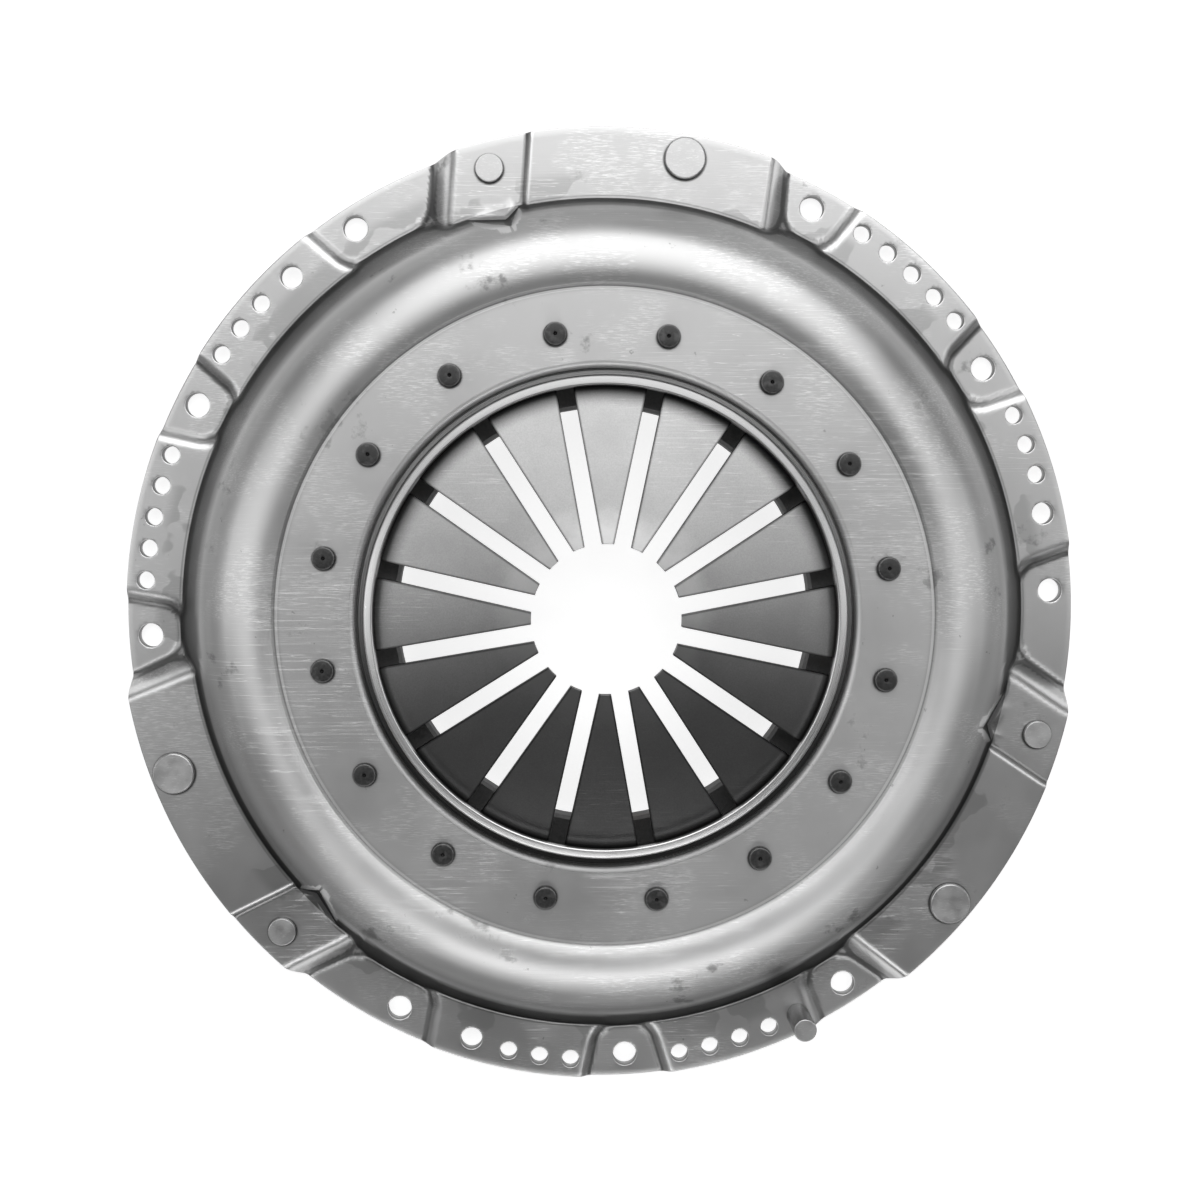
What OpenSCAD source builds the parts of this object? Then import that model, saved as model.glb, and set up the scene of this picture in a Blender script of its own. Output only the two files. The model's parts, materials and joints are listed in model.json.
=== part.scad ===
// Clutch pressure plate: a pressed steel cover, a finger spring held by shouldered rivets,
// and a cast plate that hangs on three packs of drive straps.
// The bolted pads of the flange rest on the plane z = 0 and the fingers point up.
// Angles around the axis are counted clockwise from +Y as seen from above.

/* [Cover flange] */
// Outer diameter of the flange
flange_d = 435; // [433:1:440]
// Thickness of the cover's sheet
sheet_t = 5.5; // [4.5:0.5:6]
// Height of the bays between the bolted pads
bay_rise = 3.5; // [3:0.5:5]
// Height of the pads that hold the straps
anchor_rise = 14.5; // [14:0.5:15]
// Height of the pads over the plate's lugs
high_rise = 16; // [16:0.5:17]
// Turn of the whole hole pattern
pattern_turn = 27.25; // [0:0.25:119]

/* [Flange holes] */
// Distance of the circle of the bolts and dowels from the rim
bolt_edge = 10; // [9:0.5:11]
// Angle from one bolt to the next
bolt_step = 30; // [29:0.5:31]
// Diameter of a bolt hole
bolt_hole_d = 11; // [8:0.5:12]
// Diameter of a dowel hole
dowel_hole_d = 10; // [8:0.5:11]
// Angle of a dowel hole behind its sector's first bolt
dowel_angle = 50; // [49.5:0.5:50.5]
// Distance of the circle of the balancing holes from the rim
balance_edge = 8.5; // [8:0.5:10]
// Diameter of a balancing hole
balance_hole_d = 8; // [6:0.5:9]
// Angle from one balancing hole to the next
balance_step = 4; // [3.5:0.5:4]
// Balancing holes in a wide bay
wide_bay_holes = 5; // [1:2:5]
// Balancing holes in a narrow bay
narrow_bay_holes = 3; // [1:2:3]
// Angle of the middle one behind its sector's first bolt
narrow_bay_angle = 41; // [40.5:0.5:41.5]

/* [Dome] */
// Height of the crest of the dome
dome_h = 48; // [47:0.5:50]
// Width of a low pad, from the rim to the wall
flange_w = 26; // [25:0.5:27]
// Distance from the wall's foot in to the crest
crest_back = 39; // [38:0.5:40]
// Lean of the wall from upright
wall_lean = 25.8; // [24:0.2:27]
// Radius of the bend inside the crest
inner_bend = 18; // [16:1:20]
// Radius of the wall's foot
foot_fillet = 4; // [2:0.5:5]
// Distance from the crest in to the flat ring
ring_back = 8.5; // [7.5:0.5:10]
// Drop of the flat ring below the crest
ring_drop = 2.2; // [1.8:0.1:2.4]
// Distance from the circle of the rivets in to the mouth
mouth_back = 16.2; // [15.2:0.5:17.2]
// Radius of the mouth's edge
mouth_edge = 3; // [1:0.5:4]

/* [Finger spring] */
// Number of fingers
finger_count = 16; // [12:1:18]
// Distance from the circle that the spring tilts on out to its rim
spring_reach = 35; // [33.5:0.5:36]
// Diameter of the circle of the finger tips
tip_circle_d = 66; // [60:1:80]
// Height of the spring's sheet
spring_t = 4.6; // [3.6:0.2:4.8]
// Lean of the fingers at rest
spring_lean = 8.1; // [7.5:0.1:8.3]
// Width of the slots between the fingers
slot_w = 7.6; // [5:0.2:8]
// Diameter of the eye at the end of a slot
eye_d = 16; // [13:0.5:18]
// Turn of the fingers
finger_turn = 1.1; // [0:0.1:22]

/* [Fulcrum rings and rivets] */
// Distance from the flat ring's edge in to the circle of the rivets
rivet_back = 18.3; // [18:0.1:19]
// Diameter of the rivet's outer head
rivet_head_d = 10; // [9:0.5:12]
// Height of the rivet's outer head
rivet_head_h = 3; // [2:0.5:4]
// Diameter of the rivet's neck in the cover
rivet_neck_d = 7.5; // [6:0.5:8]
// Diameter of the rivet's shoulder
rivet_shoulder_d = 9; // [8:0.5:9]
// Diameter of the rivet's inner head
rivet_foot_d = 19; // [18:0.5:20]
// Height of the rivet's inner head
rivet_foot_h = 3; // [2:0.5:3]
// Distance from the circle of the rivets out to the circle that the spring tilts on
fulcrum_out = 7.3; // [7:0.1:7.6]
// Drop of the upper ring's bead below the cover
bead_drop = 6; // [5.5:0.5:6.5]
// Diameter of the lower ring's wire
wire_d = 4.5; // [4:0.25:5]
// Reach of the upper ring into the mouth
lip_reach = 7.5; // [6.5:0.5:8.5]
// Thickness of the upper ring's lip
lip_t = 4.4; // [3:0.2:5]

/* [Cast plate] */
// Gap between the plate's rim and the wall's foot
plate_gap = 17; // [16.5:0.5:19]
// Distance from the mouth in to the plate's bore
bore_back = 15.7; // [9.5:0.1:19.5]
// Height of the friction face above the flange
face_h = 4.5; // [4:0.5:5]
// Thickness of the plate
plate_t = 13; // [10:0.5:13]
// Distance from the spring's rim in to the ridge that it presses on
ridge_back = 3; // [2.5:0.5:3.5]
// Width of the ridge
ridge_w = 9; // [7:0.5:10]
// Number of air channels through the ridge
channel_count = 12; // [6:3:18]
// Width of an air channel
channel_w = 14; // [8:1:20]
// Travel of the plate
travel = 4; // [3:0.5:4]

/* [Lugs and straps] */
// Width of a lug
lug_w = 40; // [34:1:42]
// Distance of a lug's end from the rim
lug_edge = 1.5; // [0.5:0.5:3.5]
// Height of the underside of a lug
lug_h = 1.8; // [1:0.2:2.4]
// Distance of the circle of the stop rivets from the rim
stop_edge = 11; // [10.5:0.5:12]
// Angle of a stop rivet ahead of its sector's first bolt
stop_angle = 17.3; // [16.8:0.1:17.8]
// Distance of the circle of the anchor rivets from the rim
anchor_edge = 12.1; // [11.5:0.1:12.5]
// Angle of an anchor rivet behind its sector's first bolt
anchor_angle = 78.3; // [78:0.1:78.6]
// Number of leaves in a strap pack
leaf_count = 3; // [3:1:3]
// Thickness of a leaf
leaf_t = 0.8; // [0.6:0.1:0.9]
// Width of a leaf
leaf_w = 22; // [18:1:23]
// Diameter of a stop rivet's head
stop_head_d = 18.5; // [17:0.5:20]
// Height of a stop rivet's head
stop_head_h = 2.5; // [1.5:0.5:4]
// Diameter of a stop rivet's shank
stop_shank_d = 11; // [9:0.5:12]
// Gap around a stop rivet in the cover
stop_play = 1.25; // [0.75:0.25:1.5]
// Diameter of an anchor rivet's head
anchor_head_d = 12.6; // [12:0.2:14]
// Height of an anchor rivet's head
anchor_head_h = 2.5; // [1.5:0.5:3]
// Diameter of an anchor rivet's shank
anchor_shank_d = 8; // [7:0.5:9]

/* [Balancing pin] */
// Diameter of the pin
pin_d = 10.5; // [9.5:0.5:12]
// Height of the pin above the flange
pin_h = 24; // [10:1:30]

/* [Hidden] */
$fn = 96;

sectors = 3;
sector_angle = 360 / sectors;
seat_gap = 0.05;
fit_gap = 0.05;
past = 1;
finger_angle = 360 / finger_count;

// Radii, from the rim inwards
edge_r = flange_d / 2;
lug_r = edge_r - lug_edge;
balance_r = edge_r - balance_edge;
bolt_r = edge_r - bolt_edge;
stop_r = edge_r - stop_edge;
anchor_r = edge_r - anchor_edge;
wall_r = edge_r - flange_w;
plate_r = wall_r - plate_gap;
crest_r = wall_r - crest_back;
ring_r = crest_r - ring_back;
rivet_r = ring_r - rivet_back;
mouth_r = rivet_r - mouth_back;
lip_r = mouth_r - lip_reach;
bore_r = mouth_r - bore_back;
tip_r = tip_circle_d / 2;

// Radii, from the rivets outwards
fulcrum_r = rivet_r + fulcrum_out;
spring_r = fulcrum_r + spring_reach;
ridge_r = spring_r - ridge_back;

// A bend runs across the flange; its place is an angle on the rim, and its way an angle too
pad_half_angle = 4.9;
pad_flare = 18;
short_bend = 7;
steep_bend = 17;
long_bend = 18;
crease = 4;
cross_way = 99.99;
anchor_bend = 73.65;
crease_bend = 83.3;
high_bend = 114.05;
bend_from = crest_r - 22.5;
bend_to = edge_r + 12.5;
bend_steps = 6;
lap = 5;
bay_reach = 100;

// The outer bend runs from the crest down to the leaning wall
arc_steps = 10;
arc_start = 4;
wall_run = crest_back * cos(wall_lean) - (dome_h - sheet_t) * sin(wall_lean);
outer_bend = wall_run / (1 - sin(wall_lean));
function wall_at(z) = wall_r - (z - sheet_t) * tan(wall_lean);
function inside_wall(z, depth) = wall_at(z) - depth / cos(wall_lean);

// The spring's upper side is a cone through the upper bead
ring_h = dome_h - ring_drop;
under_ring = ring_h - sheet_t;
spring_top = under_ring - bead_drop;
function spring_z(r) = spring_top + (fulcrum_r - r) * tan(spring_lean);
wire_z = spring_top - spring_t - seat_gap - wire_d / 2;
foot_top = wire_z - wire_d / 2 - seat_gap;
ridge_top = spring_z(ridge_r) - spring_t - seat_gap;

plate_back = face_h + plate_t;
strap_top = anchor_rise - seat_gap;
pack_t = leaf_count * leaf_t + (leaf_count - 1) * seat_gap;
lug_top = strap_top - pack_t - travel - seat_gap;
washer_t = 1.2;
leaf_seat = 9;
leaf_end = 9.6;

// A point at a clockwise angle from +Y
function polar(angle, radius) = [radius * sin(angle), radius * cos(angle)];

module at(angle, radius, z = 0) {
    rotate([0, 0, -angle]) translate([0, radius, z]) children();
}

module each_sector() {
    for (i = [0:sectors - 1]) rotate([0, 0, -pattern_turn - i * sector_angle]) children();
}

// A hole or a bar along Z from one height to another
module upright(diameter, from, to) {
    translate([0, 0, from]) cylinder(d = diameter, h = to - from);
}

// Points along an arc in half a section, between two angles above the outward direction
function arc(centre, radius, from, to, steps) =
    [for (k = [0:steps]) let (a = from + (to - from) * k / steps) centre + radius * [cos(a), sin(a)]];

// Half a section of the dome's outer skin, from the wall over the crest to the flat ring
function outer_line() = concat(
    arc([crest_r, dome_h - outer_bend], outer_bend, wall_lean, 90, arc_steps),
    arc([crest_r, dome_h - inner_bend], inner_bend, 90 + arc_start,
        90 + asin(ring_back / inner_bend), arc_steps)
);

// The same skin's inner side, from the wall to the underside of the flat ring
function inner_line() = concat(
    arc([crest_r, dome_h - outer_bend], outer_bend - sheet_t, wall_lean, 90, arc_steps),
    arc([crest_r, dome_h - inner_bend], inner_bend - sheet_t, 90 + arc_start,
        180 - asin((under_ring - dome_h + inner_bend) / (inner_bend - sheet_t)), arc_steps)
);

function reversed(points) = [for (k = [len(points) - 1:-1:0]) points[k]];

// A line drawn on past an end
function run_on(before, end, length) = end + (end - before) * length / norm(end - before);

// A line whose first and last pieces are drawn on past their ends
function past_ends(line, first, final) =
    let (last = len(line) - 1)
    concat(
        [run_on(line[1], line[0], first)],
        [for (k = [1:last - 1]) line[k]],
        [run_on(line[last - 1], line[last], final)]
    );

// The dome with its wall, which runs on below the flange
module dome() {
    wall_foot = -past / 2;
    rotate_extrude($fn = 180) polygon(concat(
        [[wall_at(wall_foot), wall_foot]],
        outer_line(),
        [[ring_r, ring_h]],
        arc([mouth_r + mouth_edge, ring_h - mouth_edge], mouth_edge, 90, 180, arc_steps),
        [[mouth_r, under_ring]],
        reversed(inner_line()),
        [[inside_wall(wall_foot, sheet_t), wall_foot]]
    ));
}

// Where a bend at an angle on the rim lies, seen along its way
function offset_of(angle, way) = edge_r * sin(angle - way);

// One side of a sheet that climbs over a width in two equal bends, from its low end up;
// side is 1 for the sheet's upper side and -1 for its underside
function climb(middle, width, low, high, side) =
    let (
        turn = 2 * atan((high - low) / width),
        bend_r = width / (2 * sin(turn)),
        low_centre = [middle - width / 2, low + sheet_t / 2 + bend_r],
        high_centre = [middle + width / 2, high + sheet_t / 2 - bend_r],
        low_r = bend_r - side * sheet_t / 2,
        high_r = bend_r + side * sheet_t / 2
    )
    concat(
        [for (k = [0:bend_steps]) low_centre - low_r * polar(-turn * k / bend_steps, 1)],
        [for (k = [bend_steps:-1:0]) high_centre + high_r * polar(-turn * k / bend_steps, 1)]
    );

function falling(points) = reversed([for (p = points) [-p[0], p[1]]]);

// A section seen along a way across the flange, carried over the flange
module along(way) {
    rotate([0, 0, -way]) translate([0, bend_to, 0]) rotate([90, 0, 0])
        linear_extrude(bend_to - bend_from) children();
}

// The section under a line, down to a floor
module under(line, floor_z) {
    polygon(concat([[line[0][0], floor_z]], line, [[line[len(line) - 1][0], floor_z]]));
}

function floor_of(side) = side > 0 ? -past : -5 * past;
function top_of(side) = side > 0 ? sheet_t : 0;

// Everything below one side of a raised bay, which is the same both ways from its middle
module below_bay(side) {
    way = pad_flare - bolt_step / 2;
    place = offset_of(pad_half_angle - bolt_step / 2, way);
    line = past_ends(climb(place, short_bend, 0, bay_rise, side), lap, bay_reach);
    intersection() {
        along(way) under(line, floor_of(side) - past);
        mirror([1, 0, 0]) along(way) under(line, floor_of(side) - past);
        upright(2 * bend_to, floor_of(side) - 2 * past, bay_rise + top_of(side), $fn = 180);
    }
}

// The anchor and stop pads lie side by side on one raised end, whose three bends run one way
anchor_start = offset_of(anchor_bend, cross_way) + long_bend / 2;
anchor_end = offset_of(crease_bend, cross_way) - crease / 2;
high_start = offset_of(crease_bend, cross_way) + crease / 2;
high_end = offset_of(high_bend, cross_way) - steep_bend / 2;

// Everything below one side of the raised end
module below_end(side) {
    line = concat(
        climb(anchor_start - long_bend / 2, long_bend, 0, anchor_rise, side),
        climb(high_start - crease / 2, crease, anchor_rise, high_rise, side),
        falling(climb(-high_end - steep_bend / 2, steep_bend, 0, high_rise, side))
    );
    along(cross_way) under(past_ends(line, lap, lap), floor_of(side) - past);
}

// Everything below one side of the flange
module below_flange(side) {
    upright(2 * edge_r + 4 * past, floor_of(side), top_of(side), $fn = 180);
    each_sector() {
        for (i = [0:1]) rotate([0, 0, -(i + 0.5) * bolt_step]) below_bay(side);
        below_end(side);
    }
}

// The space that the flange lies in, from halfway into the wall out to the rim
module flange_space() {
    low = -3 * past;
    high = high_rise + 2 * sheet_t;
    rotate_extrude($fn = 180) polygon([
        [inside_wall(low, sheet_t / 2), low],
        [edge_r, low],
        [edge_r, high],
        [inside_wall(high, sheet_t / 2), high]
    ]);
}

// The rounded foot of the wall on a flat at one height
module foot(z) {
    middle = [wall_at(z) + foot_fillet * tan(45 - wall_lean / 2), z + foot_fillet];
    round_line = arc(middle, foot_fillet, 270, 180 + wall_lean, arc_steps);
    top = z + foot_fillet;
    rotate_extrude($fn = 180) polygon(concat(
        [[inside_wall(z - past, sheet_t / 2), z - past], [middle[0] + past, z - past]],
        past_ends(round_line, past, past),
        [[inside_wall(top, sheet_t / 2), top]]
    ));
}

// A block over the foot of a flat, between two places seen along a way
module foot_block(z, way, from, to) {
    along(way) translate([from, z - 2 * past]) square([to - from, foot_fillet + 4 * past]);
}

module foot_between(z, from, to) {
    intersection() {
        foot(z);
        foot_block(z, cross_way, from + past, to - past);
    }
}

module bay_foot() {
    z = bay_rise + sheet_t;
    way = pad_flare - bolt_step / 2;
    from = offset_of(pad_half_angle - bolt_step / 2, way) + short_bend / 2 + past;
    intersection() {
        foot(z);
        foot_block(z, way, from, from + bay_reach);
        mirror([1, 0, 0]) foot_block(z, way, from, from + bay_reach);
    }
}

module feet() {
    foot(sheet_t);
    each_sector() {
        for (i = [0:1]) rotate([0, 0, -(i + 0.5) * bolt_step]) bay_foot();
        foot_between(anchor_rise + sheet_t, anchor_start, anchor_end);
        foot_between(high_rise + sheet_t, high_start, high_end);
    }
}

module sheet() {
    difference() {
        union() {
            dome();
            intersection() {
                below_flange(1);
                flange_space();
            }
            feet();
        }
        below_flange(-1);
    }
}

module balance_holes(middle, count) {
    for (k = [0:count - 1])
        at(middle + (k - (count - 1) / 2) * balance_step, balance_r)
            upright(balance_hole_d, -past, dome_h);
}

module flange_holes() {
    for (k = [0:2]) at(k * bolt_step, bolt_r) upright(bolt_hole_d, -past, dome_h);
    at(dowel_angle, bolt_r) upright(dowel_hole_d, -past, dome_h);
    balance_holes(bolt_step / 2, wide_bay_holes);
    balance_holes(narrow_bay_angle, narrow_bay_holes);
    at(anchor_angle, anchor_r) upright(anchor_shank_d + 2 * fit_gap, -past, dome_h);
    at(-stop_angle, stop_r) upright(stop_shank_d + 2 * stop_play, -past, dome_h);
}

module rivet_ring(diameter, from, to) {
    for (i = [0:finger_count - 1])
        at(finger_turn + (i + 0.5) * finger_angle, rivet_r) upright(diameter, from, to);
}

module cover() {
    color("silver") difference() {
        sheet();
        each_sector() flange_holes();
        rivet_ring(rivet_neck_d + 2 * fit_gap, under_ring - past, dome_h);
    }
}

// A wedge below the cover with a bead that the spring tilts on, and a lip in the mouth
module upper_fulcrum_ring() {
    bead_r = 2.5;
    groove_floor = 4.3;
    outer = fulcrum_r + 4;
    cone_gap = 0.9;
    top = under_ring - seat_gap;
    color("gainsboro") difference() {
        rotate_extrude($fn = 180) {
            polygon([
                [lip_r, spring_z(lip_r) + cone_gap],
                [fulcrum_r, spring_z(fulcrum_r) + cone_gap + 0.6],
                [outer, spring_z(fulcrum_r) + cone_gap + 0.6],
                [outer, top],
                [mouth_r - 0.6, top],
                [mouth_r - 0.6, ring_h - groove_floor],
                [lip_r, ring_h - groove_floor]
            ]);
            translate([fulcrum_r, spring_top + bead_r + seat_gap]) circle(bead_r);
            translate([lip_r, ring_h - groove_floor - past])
                square([lip_t, groove_floor + past - lip_t / 2]);
            translate([lip_r + lip_t / 2, ring_h - lip_t / 2]) circle(lip_t / 2);
        }
        rivet_ring(rivet_neck_d + 2 * fit_gap, spring_top - past, dome_h);
    }
}

module lower_fulcrum_ring() {
    color("dimgray") translate([0, 0, wire_z])
        rotate_extrude($fn = 180) translate([fulcrum_r, 0]) circle(d = wire_d);
}

module diaphragm_spring() {
    color("gray") difference() {
        rotate_extrude($fn = 180) polygon([
            [tip_r, spring_z(tip_r) - spring_t],
            [spring_r, spring_z(spring_r) - spring_t],
            [spring_r, spring_z(spring_r)],
            [tip_r, spring_z(tip_r)]
        ]);
        for (i = [0:finger_count - 1]) at(finger_turn + (i + 0.5) * finger_angle, 0) {
            translate([-slot_w / 2, 0, 0]) cube([slot_w, rivet_r, 2 * dome_h]);
            translate([0, rivet_r, 0]) cylinder(d = eye_d, h = dome_h);
        }
    }
}

module fulcrum_rivets() {
    neck_top = ring_h + seat_gap;
    shoulder_top = spring_z(fulcrum_r) + 0.6;
    color("dimgray") {
        rivet_ring(rivet_head_d, neck_top, neck_top + rivet_head_h);
        rivet_ring(rivet_neck_d, shoulder_top, neck_top);
        rivet_ring(rivet_shoulder_d, foot_top, shoulder_top);
        rivet_ring(rivet_foot_d, foot_top - rivet_foot_h, foot_top);
    }
}

module lug() {
    root = plate_r - 12;
    intersection() {
        translate([-lug_w / 2, root, lug_h]) cube([lug_w, lug_r - root, lug_top - lug_h]);
        upright(2 * lug_r, 0, dome_h, $fn = 180);
    }
}

module pressure_plate() {
    edge = 1.5;
    ridge_round = 2.5;
    color("dimgray") difference() {
        union() {
            rotate_extrude($fn = 180) {
                polygon([
                    [bore_r, face_h + edge],
                    [bore_r + edge, face_h],
                    [plate_r - edge, face_h],
                    [plate_r, face_h + edge],
                    [plate_r, plate_back - 4],
                    [plate_r - 4, plate_back],
                    [bore_r + edge, plate_back],
                    [bore_r, plate_back - edge]
                ]);
            }
            difference() {
                rotate_extrude($fn = 180) {
                    polygon([
                        [ridge_r - ridge_w, plate_back - past],
                        [ridge_r + ridge_w / 2, plate_back - past],
                        [ridge_r + ridge_round, ridge_top - ridge_round],
                        [ridge_r - ridge_round, ridge_top - ridge_round]
                    ]);
                    translate([ridge_r, ridge_top - ridge_round]) circle(ridge_round);
                }
                for (i = [0:channel_count - 1]) at((i + 0.5) * 360 / channel_count + pattern_turn, 0)
                    translate([-channel_w / 2, 0, plate_back]) cube([channel_w, plate_r, dome_h]);
            }
            each_sector() at(-stop_angle, 0) lug();
        }
        each_sector() at(-stop_angle, stop_r) {
            upright(stop_shank_d + 2 * fit_gap, 0, dome_h);
            upright(stop_head_d - 1, 0, lug_h + 3);
        }
    }
}

module anchor_rivets() {
    top = anchor_rise + sheet_t + seat_gap;
    bottom = strap_top - pack_t - seat_gap - washer_t - seat_gap;
    color("gray") each_sector() at(anchor_angle, anchor_r) {
        upright(anchor_head_d, top, top + anchor_head_h);
        upright(anchor_shank_d, bottom, top);
        upright(anchor_head_d, bottom - anchor_head_h, bottom);
    }
}

module anchor_washers() {
    top = strap_top - pack_t - seat_gap;
    color("gray") each_sector() at(anchor_angle, anchor_r) difference() {
        upright(anchor_head_d + 5, top - washer_t, top);
        upright(anchor_shank_d + 2 * fit_gap, 0, dome_h);
    }
}

module stop_rivets() {
    top = high_rise + sheet_t + seat_gap;
    foot_z = lug_h + 3 - seat_gap;
    color("gray") each_sector() at(-stop_angle, stop_r) {
        upright(stop_head_d, top, top + stop_head_h);
        upright(stop_shank_d, foot_z, top);
        upright(stop_head_d - 2, lug_h, foot_z);
    }
}

module lug_washers() {
    bottom = lug_top + seat_gap + pack_t + seat_gap;
    color("gray") each_sector() at(-stop_angle, stop_r) difference() {
        upright(stop_shank_d + 9, bottom, bottom + washer_t);
        upright(stop_shank_d + 2 * fit_gap, 0, dome_h);
    }
}

// One leaf from its anchor rivet down to its lug, in the frame of its sector
module strap_leaf(sector, leaf) {
    from = polar(anchor_angle, anchor_r);
    to = polar(sector_angle - stop_angle, stop_r);
    span = norm(to - from);
    heading = atan2(to[1] - from[1], to[0] - from[0]);
    z = strap_top - leaf_t - leaf * (leaf_t + seat_gap);
    rotate([0, 0, -pattern_turn - sector * sector_angle])
        translate([from[0], from[1], 0]) rotate([0, 0, heading]) difference() {
            intersection() {
                translate([0, leaf_w / 2, 0]) rotate([90, 0, 0]) linear_extrude(leaf_w) polygon([
                    [-leaf_end, z],
                    [leaf_seat, z],
                    [span - leaf_seat, z - travel],
                    [span + leaf_end, z - travel],
                    [span + leaf_end, z - travel + leaf_t],
                    [span - leaf_seat, z - travel + leaf_t],
                    [leaf_seat, z + leaf_t],
                    [-leaf_end, z + leaf_t]
                ]);
                union() {
                    upright(leaf_w, 0, dome_h);
                    translate([0, -leaf_w / 2, 0]) cube([span, leaf_w, dome_h]);
                    translate([span, 0, 0]) upright(leaf_w, 0, dome_h);
                }
            }
            upright(anchor_shank_d + 2 * fit_gap, 0, dome_h);
            translate([span, 0, 0]) upright(stop_shank_d + 2 * fit_gap, 0, dome_h);
        }
}

module strap_leaf_1_upper() { color("slategray") strap_leaf(0, 0); }
module strap_leaf_1_middle() { color("slategray") strap_leaf(0, 1); }
module strap_leaf_1_lower() { color("slategray") strap_leaf(0, 2); }
module strap_leaf_2_upper() { color("slategray") strap_leaf(1, 0); }
module strap_leaf_2_middle() { color("slategray") strap_leaf(1, 1); }
module strap_leaf_2_lower() { color("slategray") strap_leaf(1, 2); }
module strap_leaf_3_upper() { color("slategray") strap_leaf(2, 0); }
module strap_leaf_3_middle() { color("slategray") strap_leaf(2, 1); }
module strap_leaf_3_lower() { color("slategray") strap_leaf(2, 2); }

// The pin stands in the first balancing hole of the second sector's wide bay
module balance_pin() {
    seat = bay_rise + sheet_t + seat_gap;
    angle = pattern_turn + sector_angle + bolt_step / 2 - (wide_bay_holes - 1) / 2 * balance_step;
    color("dimgray") at(angle, balance_r) {
        upright(pin_d, seat, seat + pin_h);
        upright(balance_hole_d - 2 * fit_gap, bay_rise - seat_gap, seat);
        upright(pin_d, bay_rise - seat_gap - 2, bay_rise - seat_gap);
    }
}

cover();
upper_fulcrum_ring();
lower_fulcrum_ring();
diaphragm_spring();
fulcrum_rivets();
pressure_plate();
anchor_rivets();
anchor_washers();
stop_rivets();
lug_washers();
balance_pin();
strap_leaf_1_upper();
strap_leaf_1_middle();
strap_leaf_1_lower();
strap_leaf_2_upper();
strap_leaf_2_middle();
strap_leaf_2_lower();
strap_leaf_3_upper();
strap_leaf_3_middle();
strap_leaf_3_lower();
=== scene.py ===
import json
import math

import bmesh
import bpy
from bpy.props import FloatProperty, FloatVectorProperty, PointerProperty
from mathutils import Matrix, Vector


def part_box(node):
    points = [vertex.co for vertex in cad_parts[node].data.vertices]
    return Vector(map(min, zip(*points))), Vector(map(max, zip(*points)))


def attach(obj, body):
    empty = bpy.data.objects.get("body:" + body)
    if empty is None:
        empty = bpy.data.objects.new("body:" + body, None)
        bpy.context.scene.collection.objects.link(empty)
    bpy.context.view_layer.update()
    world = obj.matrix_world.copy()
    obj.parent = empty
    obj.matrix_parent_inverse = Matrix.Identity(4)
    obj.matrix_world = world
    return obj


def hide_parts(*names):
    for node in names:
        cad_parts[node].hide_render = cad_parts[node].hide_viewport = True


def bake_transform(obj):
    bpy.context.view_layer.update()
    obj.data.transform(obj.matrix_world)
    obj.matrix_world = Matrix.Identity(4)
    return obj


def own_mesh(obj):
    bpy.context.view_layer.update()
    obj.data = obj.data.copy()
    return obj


bl_info = {
    "name": "Clutch Pressure Plate",
    "version": (1, 0, 0),
    "blender": (4, 5, 0),
    "location": "View3D > Sidebar > Clutch",
    "description": "Dresses a clutch cover, its finger spring, rivets, straps and plate",
    "category": "Object",
}

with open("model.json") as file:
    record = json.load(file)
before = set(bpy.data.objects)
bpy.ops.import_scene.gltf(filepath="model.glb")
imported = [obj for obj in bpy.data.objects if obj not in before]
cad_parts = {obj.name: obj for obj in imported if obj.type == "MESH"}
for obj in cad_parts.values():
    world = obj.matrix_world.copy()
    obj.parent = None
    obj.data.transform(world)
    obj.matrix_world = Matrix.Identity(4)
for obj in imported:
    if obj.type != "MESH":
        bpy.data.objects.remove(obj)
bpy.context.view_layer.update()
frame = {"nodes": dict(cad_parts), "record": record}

COVER = "cover_body"
SECTORS = 3
SECTOR_TURN = 360.0 / SECTORS
PATTERN_TURN = 27.25
MM = 0.001

# Levels of the flange's underside, and the sheet's thickness, in millimetres
BAY, ANCHOR, HIGH = 3.5, 14.5, 16.0
SHEET = 5.5

# The rim, where the low pads' side lines end, the pads' foot and corners, and the widths of two bends
RIM = 217.5
PAD_IN = 198.8
RECESS_FOOT = 194.2
RECESS_CORNER = 6.0
BAY_BEND = 6.2
CREASE_BEND = 3.0

# Lines across a sector's flange, each through two places of angle and radius; the sector's bolts
# stand at 0, 30 and 60 degrees, and each low pad has a line on either side
RECESSES = (
    (((-4.5, RIM), (-2.6, PAD_IN)), ((4.3, RIM), (3.5, PAD_IN))),
    (((25.7, RIM), (26.7, PAD_IN)), ((34.3, RIM), (33.3, PAD_IN))),
    (((55.6, RIM), (56.8, PAD_IN)), ((71.85, RIM), (69.15, PAD_IN))),
)
HIGH_LINE = ((-7.3, RIM), (-5.6, 187.0))
ANCHOR_LINE = ((75.3, RIM), (71.9, 188.2))
CREASE_LINE = ((83.5, RIM), (81.3, 187.0))
NOOK = ((71.9, 188.2), (78.8, 181.9), (81.2, 187.0))
NOOK_SLOPE = 3.0

# Angles in a sector: the climb to the high pad lies before the first, the one to the anchor pad
# after the second, and the anchor pad's nook before the third
HIGH_UNTIL, ANCHOR_FROM, NOOK_UNTIL = 15.0, 66.0, 95.0

# Columns of the sheet in a sector: from an angle to an angle and how many; most at the crease
COLUMN_SPANS = ((-20.0, 79.5, 250), (79.5, 85.5, 50), (85.5, 100.0, 36))

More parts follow.
